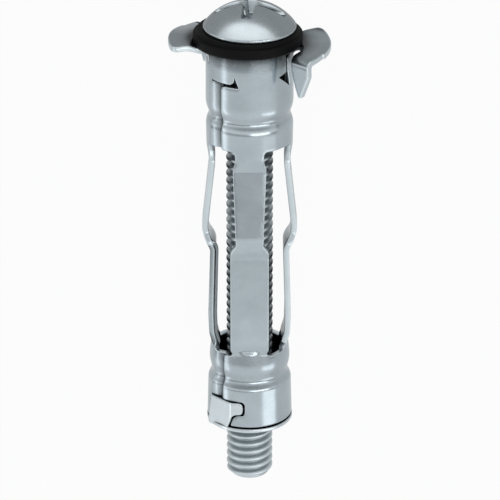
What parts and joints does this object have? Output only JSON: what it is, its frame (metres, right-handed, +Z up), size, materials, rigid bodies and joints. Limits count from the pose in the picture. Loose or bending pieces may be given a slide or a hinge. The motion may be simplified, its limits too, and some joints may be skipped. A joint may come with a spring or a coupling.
{
  "type": "hollow wall anchor",
  "caption": "Steel expansion anchor for hollow walls: a rolled slotted sleeve with folded toothed ears, a flanged nut in its tail, a soft washer and a pan-head screw through it.",
  "frame": {"origin": "middle of the bounding box on the surface the anchor lies on", "axes": "the anchor's length runs along +Y, head towards +Y; +X is its right side; +Z is up, with the seamed front facing up and a little to the right"},
  "size_m": [0.0132, 0.0426, 0.009],
  "materials": {
    "plated_sheet": "bright zinc-plated, punched and rolled sheet steel",
    "plated_nut": "bright zinc-plated, cold-formed steel",
    "washer_plastic": "moulded black rubber, faint sheen",
    "plated_screw": "bright zinc-plated, cold-headed and thread-rolled steel"
  },
  "bodies": {
    "sleeve": {"sleeve": "plated_sheet", "nut": "plated_nut"},
    "washer": {"washer": "washer_plastic"},
    "screw": {"screw": "plated_screw"}
  },
  "joints": [
    {"name": "washer_slide", "type": "slide", "parent": "sleeve", "child": "washer", "axis": [0, 0.9997, 0.0244], "range_m": [0, 0.0084]},
    {"name": "screw_turn", "type": "hinge", "parent": "washer", "child": "screw", "pos_m": [0, 0.01787, 0.00448], "axis": [0, 0.9997, 0.0244], "range_deg": [0, 4320]}
  ],
  "couplings": [
    {"joint": "screw_turn", "follows": "washer_slide", "rad_per_m": 8976}
  ]
}
